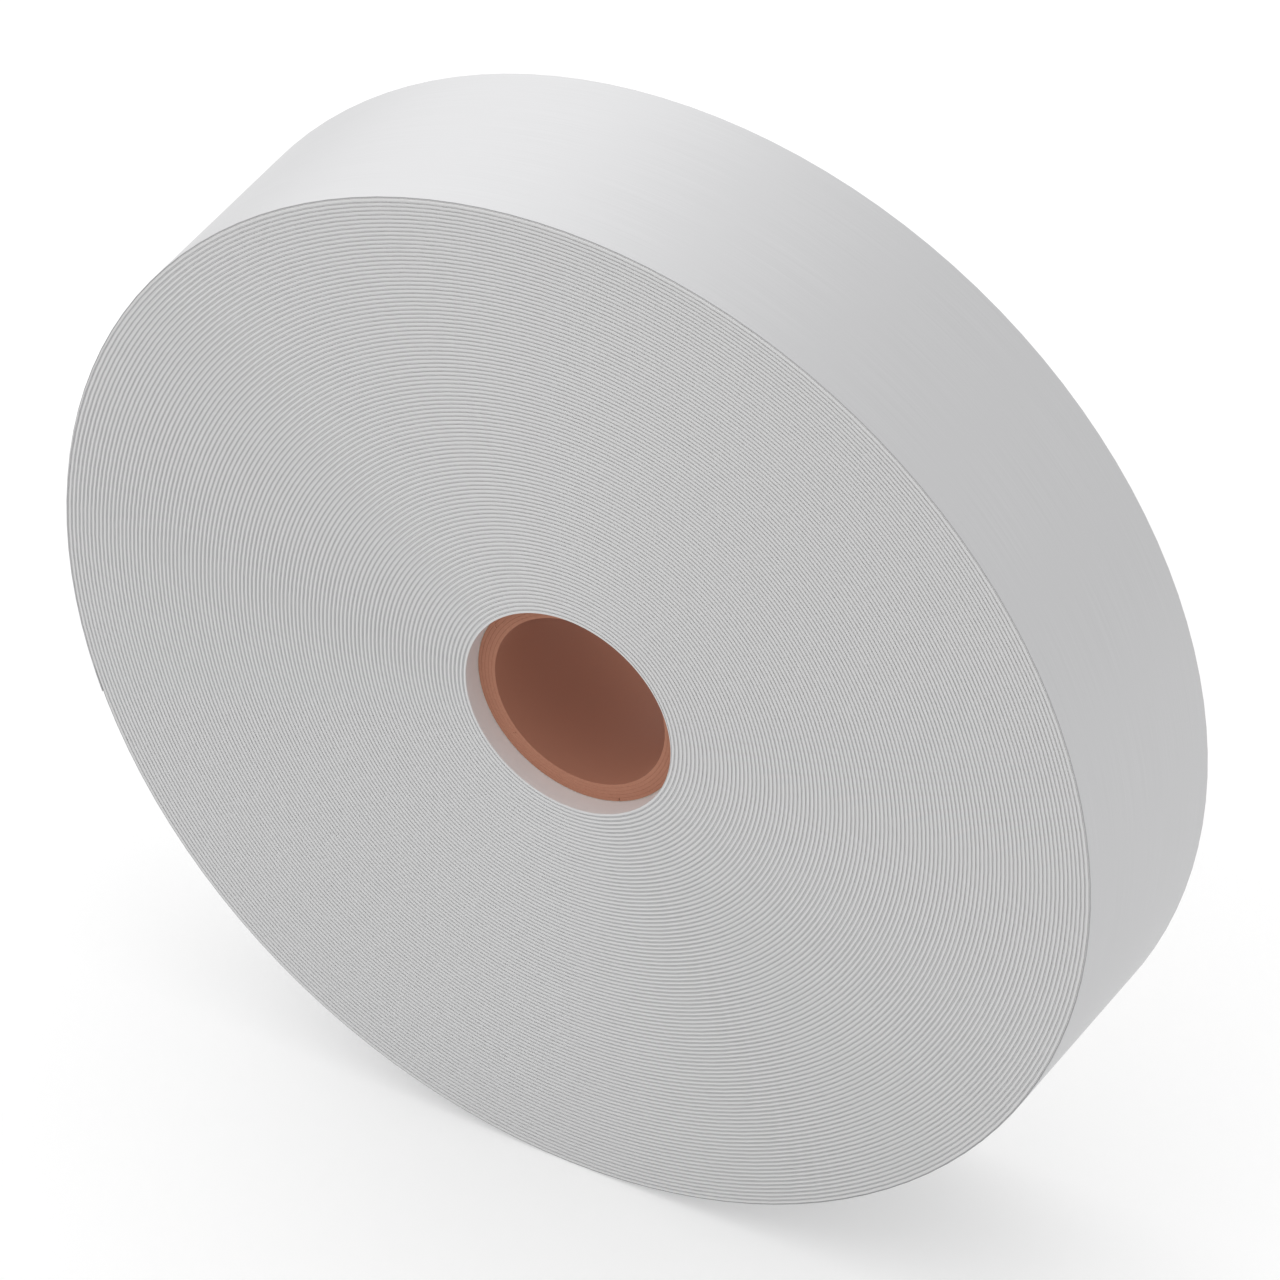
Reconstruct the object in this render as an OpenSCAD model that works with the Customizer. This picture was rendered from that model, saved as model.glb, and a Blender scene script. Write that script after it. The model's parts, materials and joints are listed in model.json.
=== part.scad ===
// Roll of tinned foil tape for stained glass work, wound on a paperboard core.
// The strip is three webs laid face to face: a paper liner, an adhesive coat and the
// foil, which is the outer face of the roll. The roll stands on its rim: its axis
// lies along Y, +Z is up, and the origin is the middle of the core. All sizes are
// millimetres.

/* [Strip] */
// Width of the foil
foil_width = 30; // [10:1:50]
// Thickness of the foil
foil_thick = 0.15; // [0.1:0.01:0.2]
// Thickness of the adhesive coat on the foil
adhesive_thick = 0.12; // [0.08:0.01:0.2]
// How far each edge of the adhesive coat stays back from the edge of the foil
adhesive_margin = 0.05; // [0.05:0.05:1]
// Thickness of the paper release liner
liner_thick = 0.325; // [0.2:0.005:0.5]
// How far each edge of the liner stands out past the edge of the foil
liner_margin = 0.15; // [0.05:0.05:1]

/* [Winding] */
// Number of half turns under the last turn, an even number
wound_half_turns = 200; // [2:2:238]
// Direction in which the strip starts, in degrees from +X towards +Z
start_angle = 120; // [0:5:355]
// How far the strip runs on past its last whole turn, in degrees
tail_angle = 80; // [5:5:175]

/* [Core] */
// Bore of the core
core_bore = 25; // [13:1:76]
// Number of board plies in the wall of the core
core_plies = 5; // [3:1:7]
// Thickness of one ply
ply_thick = 0.5; // [0.3:0.05:0.8]
// How far each end of the core lies below the side of the roll
core_recess = 2.9; // [0.5:0.1:4]
// Width of the butt seam where the edges of one ply meet
seam_gap = 0.1; // [0.05:0.05:0.5]
// Lean of the butt seams from the axis of the core, in degrees
seam_lean = 20; // [0:5:30]
// Direction of the seam of the innermost ply, in degrees from +X towards +Z
seam_angle = 60; // [0:5:355]

/* [Starter] */
// Thickness of the double-sided tape, which holds the first turn to the core
starter_thick = 0.1; // [0.05:0.01:0.2]
// How far each edge of that tape stays back from the end of the core
starter_margin = 0.1; // [0.1:0.1:2]
// How far the tape runs round the core, in degrees
starter_sweep = 350; // [30:5:355]

/* [Hidden] */
$fn = 128;

foil_depth = liner_thick + adhesive_thick;
pitch = foil_depth + foil_thick;
adhesive_width = foil_width - 2 * adhesive_margin;
liner_width = foil_width + 2 * liner_margin;
core_length = liner_width - 2 * core_recess;
core_outer_r = core_bore / 2 + core_plies * ply_thick;
winding_inner_r = core_outer_r + starter_thick;
roll_r = half_turn_r(wound_half_turns + 3);
// Angle between the seams of neighbouring plies, so that no two lie on each other
seam_step = 144;

// The strip is wound in half turns, each half a pitch larger in radius than the
// last. Their centres are by turns the two ends of a line half a pitch long, so each
// half turn runs smoothly on from the last, and two of them make one turn of spiral.
// Inner radius of a half turn of the strip, counted from 0 at the core.
function half_turn_r(n) = winding_inner_r + n * pitch / 2;

// How far the centre of a half turn lies from the axis of the roll. Side 0 holds the
// even half turns, above the line of centres, and side 1 the odd ones, below it.
function half_turn_centre(side) = side * pitch / 2;

// Turns a piece drawn around Z so that its axis lies along Y and its +Z end is in
// front. What was at +X then lies in the direction angle.
module on_roll_axis(angle) {
    rotate([90, 0, 0])
        rotate(angle)
            children();
}

// Part of a ring around Z, centred on the XY plane.
module ring(inner_r, thick, width, sweep = 360, from = 0) {
    rotate_extrude(angle = sweep, start = from)
        translate([inner_r, -width / 2])
            square([thick, width]);
}

// One web of half turn n, or of the first part of it. depth is how far the web lies
// outside the inner face of the strip.
module half_turn(n, depth, thick, width, sweep = 180) {
    side = n % 2;
    translate([half_turn_centre(side), 0])
        ring(half_turn_r(n) + depth, thick, width, sweep, side * 180);
}

// One web of the last whole turn and of the tail after it.
module last_turn(depth, thick, width) {
    for (n = [0 : 2])
        half_turn(wound_half_turns + n, depth, thick, width, n < 2 ? 180 : tail_angle);
}

// Flat outline of the liner's edge in all the turns under the last: one long spiral.
module liner_spiral() {
    for (side = [0, 1])
        translate([half_turn_centre(side), 0])
            intersection() {
                for (n = [side : 2 : wound_half_turns - 1])
                    difference() {
                        circle(half_turn_r(n) + liner_thick);
                        circle(half_turn_r(n));
                    }
                mirror([0, side])
                    translate([-2 * roll_r, 0])
                        square([4 * roll_r, 2 * roll_r]);
            }
}

// One ply of the core: a strip of board wound edge to edge into a tube, with a
// leaning butt seam. Ply 1 is the innermost.
module core_ply(n) {
    inner_r = core_bore / 2 + (n - 1) * ply_thick;
    color(n == 1 ? "#7d4c3b" : "#9e6e5a")
        on_roll_axis(seam_angle + (n - 1) * seam_step)
            difference() {
                ring(inner_r, ply_thick, core_length);
                translate([inner_r, 0])
                    rotate([seam_lean, 0])
                        cube([6 * ply_thick, seam_gap, 2 * core_length], center = true);
            }
}

// Double-sided tape laid once round the core, from where the strip starts. The first
// half turn lies on it, and the strip then lifts off it as it climbs on its own start.
module starter_tape() {
    color("#d9d2c4")
        on_roll_axis(start_angle)
            ring(core_outer_r, starter_thick, core_length - 2 * starter_margin, starter_sweep);
}

// All the turns under the last, pressed into one block by the winding tension. The
// block is as wide as the foil. The edge of the liner stands out of both its sides
// as a continuous spiral, and the edges of the foil lie in the groove between.
module wound_turns() {
    color("#c2c2c2")
        on_roll_axis(start_angle) {
            for (side = [0, 1])
                half_turn(side, 0, wound_half_turns / 2 * pitch, foil_width);
            for (z = [-liner_width / 2, foil_width / 2])
                translate([0, 0, z])
                    linear_extrude(liner_margin)
                        liner_spiral();
        }
}

// The liner of the last turn. It is wider than the foil.
module last_turn_liner() {
    color("#e2e2e0")
        on_roll_axis(start_angle)
            last_turn(0, liner_thick, liner_width);
}

// The adhesive coat between that liner and the foil, clear of both slit edges.
module last_turn_adhesive() {
    color("#8f8f90")
        on_roll_axis(start_angle)
            last_turn(liner_thick, adhesive_thick, adhesive_width);
}

// The foil of the last turn, which is the rim of the roll up to its square-cut end.
module last_turn_foil() {
    color("#d2d2d3")
        on_roll_axis(start_angle)
            last_turn(foil_depth, foil_thick, foil_width);
}

for (n = [1 : core_plies])
    core_ply(n);
starter_tape();
wound_turns();
last_turn_liner();
last_turn_adhesive();
last_turn_foil();
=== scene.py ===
"""Roll of tinned foil tape for stained glass work, on a paperboard core.

The roll stands on its rim, with its axis along Y. It is put together from the
middle outwards: the plies of the core, the starter tape, and then the three webs
of the strip, which are wound together from the core to the tail.
"""

import json
import math

import bpy
import numpy as np
from mathutils import Matrix, Vector


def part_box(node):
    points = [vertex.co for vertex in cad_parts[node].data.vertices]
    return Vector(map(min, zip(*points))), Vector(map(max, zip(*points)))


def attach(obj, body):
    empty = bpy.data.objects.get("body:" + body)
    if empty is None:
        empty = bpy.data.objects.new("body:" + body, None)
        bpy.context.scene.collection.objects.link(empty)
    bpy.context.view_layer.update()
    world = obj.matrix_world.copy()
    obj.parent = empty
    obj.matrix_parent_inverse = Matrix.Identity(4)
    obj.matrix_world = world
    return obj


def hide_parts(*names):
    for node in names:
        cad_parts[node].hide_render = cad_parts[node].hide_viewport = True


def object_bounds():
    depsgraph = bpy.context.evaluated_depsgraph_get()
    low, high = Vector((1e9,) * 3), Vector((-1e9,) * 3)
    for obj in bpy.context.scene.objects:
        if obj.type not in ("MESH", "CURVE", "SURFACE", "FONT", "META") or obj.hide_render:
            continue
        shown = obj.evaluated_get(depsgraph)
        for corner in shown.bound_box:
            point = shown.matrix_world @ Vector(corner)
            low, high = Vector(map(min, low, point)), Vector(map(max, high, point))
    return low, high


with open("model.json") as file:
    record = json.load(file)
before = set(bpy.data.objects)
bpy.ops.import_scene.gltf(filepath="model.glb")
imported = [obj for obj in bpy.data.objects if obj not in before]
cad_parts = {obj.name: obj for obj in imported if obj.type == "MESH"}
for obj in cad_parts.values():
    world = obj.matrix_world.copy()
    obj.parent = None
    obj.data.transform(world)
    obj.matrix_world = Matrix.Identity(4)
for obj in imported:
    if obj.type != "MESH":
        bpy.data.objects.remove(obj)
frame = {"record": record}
cad_low, cad_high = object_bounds()


# ---------------------------------------------------------------- core plies
# The core is a tube of five plies of copper-brown board. Each ply is a strip
# wound edge to edge, so it has a narrow butt seam that leans from the axis.
# The plies are glued on each other with their seams apart, and the ends are cut.

# one millimetre in metres
MM = 0.001
plies = [f"core_ply_{n}" for n in range(1, 6)]
bore_r = frame["record"]["mounts"][0]["dims"]["r_mm"] * MM
core_low, core_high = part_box(plies[-1])
ply_thick = (core_high.x - bore_r) / len(plies)
first_seam = math.radians(60)
seam_step = math.radians(144)
seam_lean = math.tan(math.radians(20))
seam_gap = 0.1 * MM
ply_cut_edge = 0.04 * MM
ply_steps = 160
# A leaning strip turns as it crosses the core, so it needs steps across as well.
ply_steps_across = 16


def cut_profile(thick, low, high, chamfer, steps=1):
    """The cross-section of a flat strip, as (depth, across) points in order: a
    rectangle with a chamfer on each of its four corners. Its two long sides are
    divided into equal steps. The points run up its inner side from low to high, and
    back down its outer side."""
    between = np.linspace(low + chamfer, high - chamfer, steps + 1)
    across = np.concatenate([[low], between, [high]])
    depth = np.where((across == low) | (across == high), chamfer, 0)
    inner_side = np.column_stack([depth, across])
    outer_side = np.column_stack([thick - depth, across])[::-1]
    return np.concatenate([inner_side, outer_side])


def wound_strip(name, start, angle, centre, inner_r, profile, fullness=1.0, lean=0.0):
    """A closed mesh of a strip wound round the Y axis.

    Each station i along the strip has the turning angle angle[i], the inner radius
    inner_r[i] and a centre that lies centre[i] from the axis, in the direction
    start. A profile point (depth, across) at that station lies at the radius
    inner_r[i] + depth * fullness[i] round that centre, and at -across along Y.
    Where the strip leans, its angle grows by lean * across / radius.
    """
    depth, across = profile.T
    radius = inner_r[:, None] + depth * np.broadcast_to(fullness, angle.shape)[:, None]
    turned = angle[:, None] + lean * across / radius
    flat = (centre[:, None] + radius * np.exp(1j * turned)) * np.exp(1j * start)
    y = np.broadcast_to(-across, flat.shape)
    points = np.stack([flat.real, y, flat.imag], axis=-1)

    stations, corners = flat.shape
    index = np.arange(stations * corners).reshape(stations, corners)
    ahead = np.roll(index, -1, axis=1)
    sides = np.stack([index[:-1], ahead[:-1], ahead[1:], index[1:]], axis=-1)
    low = np.arange(corners // 2 - 1)
    cap = np.stack([low, low + 1, corners - 2 - low, corners - 1 - low], axis=-1)
    faces = np.concatenate([sides.reshape(-1, 4), cap[:, ::-1], cap + index[-1, 0]])
    mesh = bpy.data.meshes.new(name)
    mesh.from_pydata(points.reshape(-1, 3), [], faces)

    # the UV map gives the place on the strip in metres, along it back from its outer
    # end, which is at 0, and across it from its middle
    along = np.concatenate([[0], np.cumsum(np.diff(angle) * inner_r[1:])])
    along = np.broadcast_to((along - along[-1])[:, None], flat.shape)
    place = np.stack([along, np.broadcast_to(across, flat.shape)], axis=-1).reshape(-1, 2)
    uv = mesh.uv_layers.new(name="strip")
    uv.uv.foreach_set("vector", place[faces.ravel()].astype(np.float32).ravel())

    # smooth along the strip, where a step turns by 3 degrees at most, and crisp at
    # its cut edges, which turn by more except where it is as thin as a feather
    mesh.shade_smooth()
    mesh.set_sharp_from_angle(angle=math.radians(5))
    mesh.validate()
    piece = bpy.data.objects.new(name, mesh)
    bpy.context.scene.collection.objects.link(piece)
    return piece


def linear(code):
    """A colour written as an sRGB hex value, as linear red, green, blue and alpha."""
    srgb = np.array([int(code[i : i + 2], 16) for i in (1, 3, 5)]) / 255
    rgb = np.where(srgb <= 0.04045, srgb / 12.92, ((srgb + 0.055) / 1.055) ** 2.4)
    return (*(float(c) for c in rgb), 1.0)


def add_node(tree, kind, inputs=(), **settings):
    """Adds a node with its settings. inputs maps a socket's name or number to a
    value, or to the output socket that it is linked from. A Mix node of colours
    takes them at its sockets 6 and 7 and gives the result at output 2. A Mix node of
    numbers has them at 2, 3 and 0."""
    node = tree.nodes.new(kind)
    for name, value in settings.items():
        setattr(node, name, value)
    for socket, value in dict(inputs).items():
        if isinstance(value, bpy.types.NodeSocket):
            tree.links.new(value, node.inputs[socket])
        else:
            node.inputs[socket].default_value = value
    return node


def new_material(name):
    """An empty node material. Returns it with its node tree."""
    material = bpy.data.materials.new(name)
    material.use_nodes = True
    material.node_tree.nodes.clear()
    return material, material.node_tree


def core_board():
    """Calendered kraft board, made from recycled fibre: smooth and matte, with a faint grain of
    fibres that run along the axis. Burnishing by the mandrel that the core was wound on has left
    the face of the bore satin. That face is also given a darker brown, as painted shade inside the
    tube."""
    # single fibres are too fine to show, so they are drawn as streaks and clumps
    streak_width = 0.35 * MM
    streak_length = 8 * MM
    fibre_clump = 0.3 * MM
    # the band at the face of the bore, which the mask below makes satin and paints darker as shade
    burnish_and_shade_depth = 0.01 * MM
    burnish_and_shade_end = 0.03 * MM

    material, tree = new_material("kraft core board")
    coords = add_node(tree, "ShaderNodeTexCoord")
    stretched = add_node(
        tree,
        "ShaderNodeMapping",
        {"Vector": coords.outputs["UV"], "Scale": (1 / streak_width, 1 / streak_length, 1)},
    )
    streaks = add_node(
        tree,
        "ShaderNodeTexNoise",
        {"Vector": stretched.outputs[0], "Scale": 1.0, "Detail": 3.0, "Roughness": 0.6},
    )
    grain = add_node(
        tree,
        "ShaderNodeTexNoise",
        {"Vector": coords.outputs["Object"], "Scale": 1 / fibre_clump, "Detail": 2.0},
    )
    both = add_node(
        tree,
        "ShaderNodeMath",
        {0: streaks.outputs["Fac"], 1: grain.outputs["Fac"]},
        operation="ADD",
    )
    tone = add_node(
        tree,
        "ShaderNodeMapRange",
        {"Value": both.outputs[0], "From Min": 0.75, "From Max": 1.25},
    )
    colour = add_node(
        tree,
        "ShaderNodeMix",
        {0: tone.outputs[0], 6: linear("#b37d67"), 7: linear("#b8836c")},
        data_type="RGBA",
    )
    flat = add_node(
        tree,
        "ShaderNodeMapping",
        {"Vector": coords.outputs["Object"], "Scale": (1, 0, 1)},
    )
    from_axis = add_node(tree, "ShaderNodeVectorMath", {0: flat.outputs[0]}, operation="LENGTH")
    burnish_and_shade = add_node(
        tree,
        "ShaderNodeMapRange",
        {
            "Value": from_axis.outputs["Value"],
            "From Min": bore_r + burnish_and_shade_end,
            "From Max": bore_r + burnish_and_shade_depth,
        },
    )
    # painted shade: the face of the bore is mixed to a darker brown
    shade = add_node(
        tree,
        "ShaderNodeMix",
        {0: burnish_and_shade.outputs[0], 6: colour.outputs[2], 7: linear("#a97560")},
        data_type="RGBA",
    )
    rough = add_node(
        tree,
        "ShaderNodeMapRange",
        {"Value": burnish_and_shade.outputs[0], "To Min": 0.82, "To Max": 0.6},
    )
    bump = add_node(
        tree,
        "ShaderNodeBump",
        {"Height": both.outputs[0], "Strength": 0.15, "Distance": 0.02 * MM},
    )
    board = add_node(
        tree,
        "ShaderNodeBsdfPrincipled",
        {
            "Base Color": shade.outputs[2],
            "Normal": bump.outputs[0],
            "Roughness": rough.outputs[0],
            "IOR": 1.45,
            "Specular IOR Level": 0.2,
        },
    )
    add_node(tree, "ShaderNodeOutputMaterial", {"Surface": board.outputs[0]})
    return material


board = core_board()
for n, node in enumerate(plies):
    inner_r = bore_r + n * ply_thick
    gap = seam_gap / inner_r
    ply = wound_strip(
        f"board_ply_{n + 1}",
        first_seam + n * seam_step,
        np.linspace(gap / 2, 2 * math.pi - gap / 2, ply_steps),
        np.zeros(ply_steps),
        np.full(ply_steps, inner_r),
        cut_profile(ply_thick, core_low.y, core_high.y, ply_cut_edge, ply_steps_across),
        lean=seam_lean,
    )
    ply.data.materials.append(board)
    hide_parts(node)
    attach(ply, "root")


# -------------------------------------------------------------- starter tape
# A strip of double-sided tape, laid once round the core, holds the first turn of
# the strip. It is a little narrower than the core, and starts where the strip's
# first half turn does.

tape_low, tape_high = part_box("starter_tape")
strip_start = math.radians(120)
tape_thick = 0.1 * MM
tape_cut_edge = 0.01 * MM
tape_sweep = math.radians(350)
tape_steps = 151
tape = wound_strip(
    "double_sided_tape",
    strip_start,
    np.linspace(0, tape_sweep, tape_steps),
    np.zeros(tape_steps),
    np.full(tape_steps, core_high.x),
    cut_profile(tape_thick, tape_low.y, tape_high.y, tape_cut_edge),
)


def clear_tape():
    """Acrylic double-sided tape on a clear film: glossy, with a fine crazed skin."""
    craze_size = 0.8 * MM

    material, tree = new_material("double-sided acrylic tape")
    coords = add_node(tree, "ShaderNodeTexCoord")
    skin = add_node(
        tree,
        "ShaderNodeTexNoise",
        {"Vector": coords.outputs["Object"], "Scale": 1 / craze_size, "Detail": 3.0},
    )
    bump = add_node(
        tree,
        "ShaderNodeBump",
        {"Height": skin.outputs["Fac"], "Strength": 0.3, "Distance": 0.02 * MM},
    )
    film = add_node(
        tree,
        "ShaderNodeBsdfPrincipled",
        {
            "Base Color": linear("#d9d2c4"),
            "Normal": bump.outputs[0],
            "Roughness": 0.3,
            "IOR": 1.47,
        },
    )
    add_node(tree, "ShaderNodeOutputMaterial", {"Surface": film.outputs[0]})
    return material


tape.data.materials.append(clear_tape())
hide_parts("starter_tape")
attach(tape, "root")


# ----------------------------------------------------------------- the strip
# A paper liner, an adhesive coat and the foil are wound together under tension,
# with the liner inside. Each web runs unbroken from the core to the end of the
# tail. The strip is laid in half turns, as a tight spiral.

liner_low, liner_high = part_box("last_turn_liner")
coat_low, coat_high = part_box("last_turn_adhesive")
foil_low, foil_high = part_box("last_turn_foil")
liner_thick = 0.325 * MM
coat_thick = 0.12 * MM
foil_thick = 0.15 * MM
pitch = liner_thick + coat_thick + foil_thick
liner_cut_edge = 0.03 * MM
coat_cut_edge = 0.02 * MM
foil_cut_edge = 0.02 * MM
liner_margin = 0.15 * MM
half_turns = 202
half_turn_steps = 60
lead_in = math.radians(159)
tail = math.radians(80)
tail_end_thick = 0.06 * MM

# Half turn n has the inner radius core radius + tape + n * pitch / 2. The even ones
# turn round the axis, and the odd ones round a centre half a pitch from it.
turned_in_full = half_turns * math.pi
angle = np.arange(-lead_in, turned_in_full + tail, step=math.pi / half_turn_steps)
angle = np.append(angle, turned_in_full + tail)
half_turn = np.maximum(angle // math.pi, 0)
centre = half_turn % 2 * pitch / 2
inner_r = core_high.x + tape_thick + half_turn * pitch / 2

# The webs are drawn thick enough for each turn to show, so both ends thin out along
# a cosine and neither stands up as a thick step. Ahead of the first half turn, the
# lead-in grows from a feather edge and fills the gap under the second half turn. The
# tail shrinks to the thickness of its square-cut end.
grown = (1 + np.cos(np.minimum(angle, 0))) / 2
in_tail = np.clip((angle - turned_in_full) / tail, 0, 1)
shrunk = (1 - tail_end_thick / pitch) * (1 - np.cos(math.pi * in_tail)) / 2
fullness = grown - shrunk

liner = wound_strip(
    "liner_web",
    strip_start,
    angle,
    centre,
    inner_r,
    cut_profile(liner_thick, liner_low.y, liner_high.y, liner_cut_edge),
    fullness,
)
coat = wound_strip(
    "adhesive_web",
    strip_start,
    angle,
    centre,
    inner_r + liner_thick * fullness,
    cut_profile(coat_thick, coat_low.y, coat_high.y, coat_cut_edge),
    fullness,
)
foil = wound_strip(
    "foil_web",
    strip_start,
    angle,
    centre,
    inner_r + (liner_thick + coat_thick) * fullness,
    cut_profile(foil_thick, foil_low.y, foil_high.y, foil_cut_edge),
    fullness,
)


def slit_edge(tree, coords, half_width, band):
    """A socket that is 1 on the two slit edges of a web and on a band of its faces
    beside them. It fades to 0 over the next 0.3 of the band's width."""
    across = add_node(tree, "ShaderNodeSeparateXYZ", {0: coords.outputs["UV"]})
    off_middle = add_node(tree, "ShaderNodeMath", {0: across.outputs["Y"]}, operation="ABSOLUTE")
    edge = add_node(
        tree,
        "ShaderNodeMapRange",
        {
            "Value": off_middle.outputs[0],
            "From Min": half_width - 1.3 * band,
            "From Max": half_width - band,
        },
    )
    return edge.outputs[0]


def tinned_foil():
    """Copper foil with a bright tin plating, rolled and then slit: satin metal, with fine, shallow
    rolling lines along the strip and dull, roughened slit edges. The slit edges are also paler than
    the face, as painted light that lifts the shade in the grooves between the turns. On the last
    turn they are darker instead, as painted shade along the edge of the rim."""
    # real rolling lines are finer, and these are as coarse as they need to show
    line_gap = 0.1 * MM
    line_length = 20 * MM
    line_height = 0.01 * MM
    last_turn_length = 2 * math.pi * foil_high.z
    turn_fade = 1 * MM

    material, tree = new_material("tinned copper foil")
    coords = add_node(tree, "ShaderNodeTexCoord")
    slit = slit_edge(tree, coords, (foil_high.y - foil_low.y) / 2, foil_cut_edge)
    place = add_node(tree, "ShaderNodeSeparateXYZ", {0: coords.outputs["UV"]})
    last_turn = add_node(
        tree,
        "ShaderNodeMapRange",
        {
            "Value": place.outputs["X"],
            "From Min": -last_turn_length - turn_fade,
            "From Max": -last_turn_length,
        },
    )
    # painted light and shade: a pale grey on the slit edges that lifts the shade in the grooves,
    # and a darker grey on the last turn as shade along the rim's edge
    edge_light_and_shade = add_node(
        tree,
        "ShaderNodeMix",
        {0: last_turn.outputs[0], 6: linear("#d1d1d2"), 7: linear("#b4b4b5")},
        data_type="RGBA",
    )
    rolled = add_node(
        tree,
        "ShaderNodeMapping",
        {"Vector": coords.outputs["UV"], "Scale": (1 / line_length, 1 / line_gap, 1)},
    )
    lines = add_node(
        tree,
        "ShaderNodeTexNoise",
        {"Vector": rolled.outputs[0], "Scale": 1.0, "Detail": 2.0},
    )
    rough = add_node(
        tree,
        "ShaderNodeMapRange",
        {"Value": lines.outputs["Fac"], "To Min": 0.38, "To Max": 0.52},
    )
    colour = add_node(
        tree,
        "ShaderNodeMix",
        {0: lines.outputs["Fac"], 6: linear("#bababb"), 7: linear("#cacacb")},
        data_type="RGBA",
    )
    edged = add_node(
        tree,
        "ShaderNodeMix",
        {0: slit, 6: colour.outputs[2], 7: edge_light_and_shade.outputs[2]},
        data_type="RGBA",
    )
    dulled = add_node(
        tree,
        "ShaderNodeMix",
        {0: slit, 2: rough.outputs[0], 3: 0.7},
        data_type="FLOAT",
    )
    bump = add_node(
        tree,
        "ShaderNodeBump",
        {"Height": lines.outputs["Fac"], "Strength": 0.3, "Distance": line_height},
    )
    metal = add_node(
        tree,
        "ShaderNodeBsdfPrincipled",
        {
            "Base Color": edged.outputs[2],
            "Normal": bump.outputs[0],
            "Metallic": 1.0,
            "Roughness": dulled.outputs[0],
        },
    )
    add_node(tree, "ShaderNodeOutputMaterial", {"Surface": metal.outputs[0]})
    return material


def acrylic_coat():
    """Pressure-sensitive acrylic adhesive, coated and dried: a milky, pale grey
    layer with a soft gloss and small lumps along its edge."""
    lump_size = 0.5 * MM

    material, tree = new_material("acrylic adhesive")
    coords = add_node(tree, "ShaderNodeTexCoord")
    lumps = add_node(
        tree,
        "ShaderNodeTexNoise",
        {"Vector": coords.outputs["Object"], "Scale": 1 / lump_size, "Detail": 2.0},
    )
    colour = add_node(
        tree,
        "ShaderNodeMix",
        {0: lumps.outputs["Fac"], 6: linear("#dcdcdc"), 7: linear("#e6e6e6")},
        data_type="RGBA",
    )
    bump = add_node(
        tree,
        "ShaderNodeBump",
        {"Height": lumps.outputs["Fac"], "Strength": 0.4, "Distance": 0.03 * MM},
    )
    gum = add_node(
        tree,
        "ShaderNodeBsdfPrincipled",
        {
            "Base Color": colour.outputs[2],
            "Normal": bump.outputs[0],
            "Roughness": 0.45,
            "IOR": 1.47,
        },
    )
    add_node(tree, "ShaderNodeOutputMaterial", {"Surface": gum.outputs[0]})
    return material


def release_paper():
    """Bleached kraft paper with a silicone coat: pale grey-white and softly satin, with a faint
    cloud of fibres that run along the strip. Its faces are a little warmer than its cut edges, as a
    painted glow of light thrown back from the copper-brown core."""
    # the size of a flock of fibres, as light through the paper shows it
    cloud_length = 3 * MM
    cloud_width = 1.2 * MM

    material, tree = new_material("silicone release paper")
    coords = add_node(tree, "ShaderNodeTexCoord")
    # the band is what stands out past the foil
    slit = slit_edge(tree, coords, (liner_high.y - liner_low.y) / 2, liner_margin)
    web_way = add_node(
        tree,
        "ShaderNodeMapping",
        {"Vector": coords.outputs["UV"], "Scale": (1 / cloud_length, 1 / cloud_width, 1)},
    )
    clouds = add_node(
        tree,
        "ShaderNodeTexNoise",
        {"Vector": web_way.outputs[0], "Scale": 1.0, "Detail": 4.0, "Roughness": 0.55},
    )
    # painted bounce light: a warm tint on the faces, as from the brown core, which shows on the
    # wall of the hole
    face = add_node(
        tree,
        "ShaderNodeMix",
        {0: clouds.outputs["Fac"], 6: linear("#dad5d4"), 7: linear("#e2dddc")},
        data_type="RGBA",
    )
    colour = add_node(
        tree,
        "ShaderNodeMix",
        {0: slit, 6: face.outputs[2], 7: linear("#dfdfdf")},
        data_type="RGBA",
    )
    bump = add_node(
        tree,
        "ShaderNodeBump",
        {"Height": clouds.outputs["Fac"], "Strength": 0.15, "Distance": 0.02 * MM},
    )
    paper = add_node(
        tree,
        "ShaderNodeBsdfPrincipled",
        {
            "Base Color": colour.outputs[2],
            "Normal": bump.outputs[0],
            "Roughness": 0.55,
            "IOR": 1.45,
            "Specular IOR Level": 0.4,
        },
    )
    add_node(tree, "ShaderNodeOutputMaterial", {"Surface": paper.outputs[0]})
    return material


foil.data.materials.append(tinned_foil())
coat.data.materials.append(acrylic_coat())
liner.data.materials.append(release_paper())
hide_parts("last_turn_foil", "wound_turns")
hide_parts("last_turn_adhesive", "wound_turns")
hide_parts("last_turn_liner", "wound_turns")
for web, slot in ((foil, "tinned_foil"), (coat, "adhesive"), (liner, "liner_paper")):
    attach(web, "root")


# -------------------------------------------------------------------- studio
# A pale floor under the roll, an even white room, a broad soft lamp overhead and a
# little to the left, a low one behind on the left that brightens the top of the
# rim, and a camera with a long lens.

floor_half = 12.0
floor_mesh = bpy.data.meshes.new("floor")
floor_mesh.from_pydata(
    [
        (x * floor_half, y * floor_half, cad_low.z)
        for x, y in ((-1, -1), (1, -1), (1, 1), (-1, 1))
    ],
    [],
    [(0, 1, 2, 3)],
)
floor = bpy.data.objects.new("floor", floor_mesh)
bpy.context.scene.collection.objects.link(floor)


def seen_directly(tree):
    """A socket that is 1 where a surface or the room is seen by the camera, in a
    reflection or through glass, and 0 where it only lights other things."""
    path = add_node(tree, "ShaderNodeLightPath")
    kinds = [path.outputs[f"Is {kind} Ray"] for kind in ("Camera", "Glossy", "Transmission")]
    pair = add_node(tree, "ShaderNodeMath", {0: kinds[0], 1: kinds[1]}, operation="MAXIMUM")
    every = add_node(tree, "ShaderNodeMath", {0: pair.outputs[0], 1: kinds[2]}, operation="MAXIMUM")
    return every.outputs[0]


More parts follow.
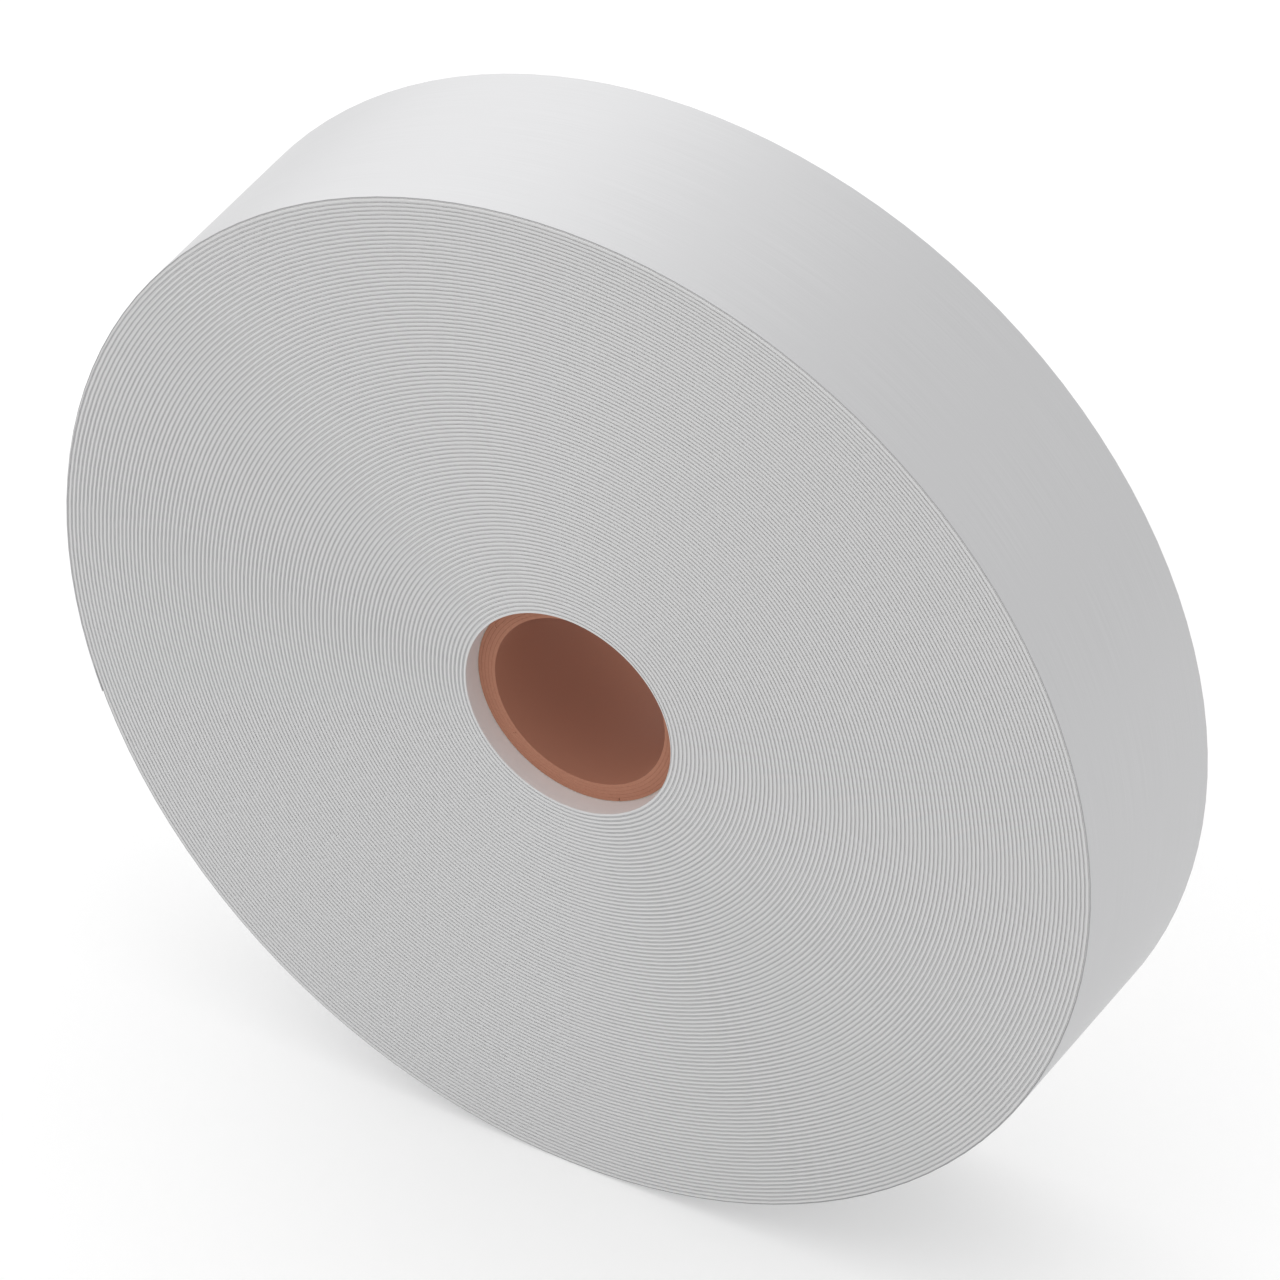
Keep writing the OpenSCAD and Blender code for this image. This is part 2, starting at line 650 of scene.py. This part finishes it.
# the floor is lifted to white where it is seen, and keeps the roll's shadow
paint, tree = new_material("pale matte floor paint")
matte = add_node(tree, "ShaderNodeBsdfDiffuse", {"Color": linear("#dadada")})
lift = add_node(
    tree,
    "ShaderNodeEmission",
    {"Color": (0.3, 0.3, 0.3, 1.0), "Strength": seen_directly(tree)},
)
lifted = add_node(tree, "ShaderNodeAddShader", {0: matte.outputs[0], 1: lift.outputs[0]})
add_node(tree, "ShaderNodeOutputMaterial", {"Surface": lifted.outputs[0]})
floor_mesh.materials.append(paint)

# the room is white where it is seen, and lights the roll a little less strongly
room = bpy.data.worlds.new("soft room")
room.use_nodes = True
room.node_tree.nodes.clear()
level = add_node(
    room.node_tree,
    "ShaderNodeMapRange",
    {"Value": seen_directly(room.node_tree), "To Min": 0.84, "To Max": 1.0},
)
air = add_node(
    room.node_tree,
    "ShaderNodeBackground",
    {"Color": (1.0, 1.0, 1.0, 1.0), "Strength": level.outputs[0]},
)
add_node(room.node_tree, "ShaderNodeOutputWorld", {"Surface": air.outputs[0]})
bpy.context.scene.world = room


def soft_lamp(name, place, size, watts):
    """A square area lamp at a place given in metres, turned to the roll."""
    lamp = bpy.data.lights.new(name, "AREA")
    lamp.shape = "SQUARE"
    lamp.size = size
    lamp.energy = watts
    holder = bpy.data.objects.new(name, lamp)
    holder.location = place
    holder.rotation_euler = (-Vector(place)).to_track_quat("-Z", "Y").to_euler()
    bpy.context.scene.collection.objects.link(holder)


soft_lamp("overhead lamp", place=(-0.25, -0.1, 1.1), size=1.6, watts=4.5)
soft_lamp("low lamp behind", place=(-0.8, 0.8, 0.41), size=1.2, watts=2.7)

eye = bpy.data.objects.new("camera", bpy.data.cameras.new("camera"))
eye.data.lens = 328.6
eye.data.sensor_width = 36.0
eye.data.clip_start = 0.05
eye.data.clip_end = 60.0
azimuth = math.radians(30.88)
elevation = math.radians(38.78)
right = Vector((math.cos(azimuth), math.sin(azimuth), 0))
back = Vector(
    (
        math.sin(azimuth) * math.cos(elevation),
        -math.cos(azimuth) * math.cos(elevation),
        math.sin(elevation),
    )
)
up = back.cross(right)
# Seen from here, the middle of the front side lies a little left of and below the
# middle of the view. The three distances are in radii of the roll.
roll_r = (cad_high.x - cad_low.x) / 2
front_middle = Vector((0, cad_low.y, 0))
stand = front_middle + roll_r * (0.1207 * right + 0.1238 * up + 19.480 * back)
turn = Matrix((right, up, back)).transposed().to_4x4()
eye.matrix_world = Matrix.Translation(stand) @ turn
bpy.context.scene.collection.objects.link(eye)
bpy.context.scene.camera = eye
bpy.context.scene.view_settings.view_transform = "Standard"
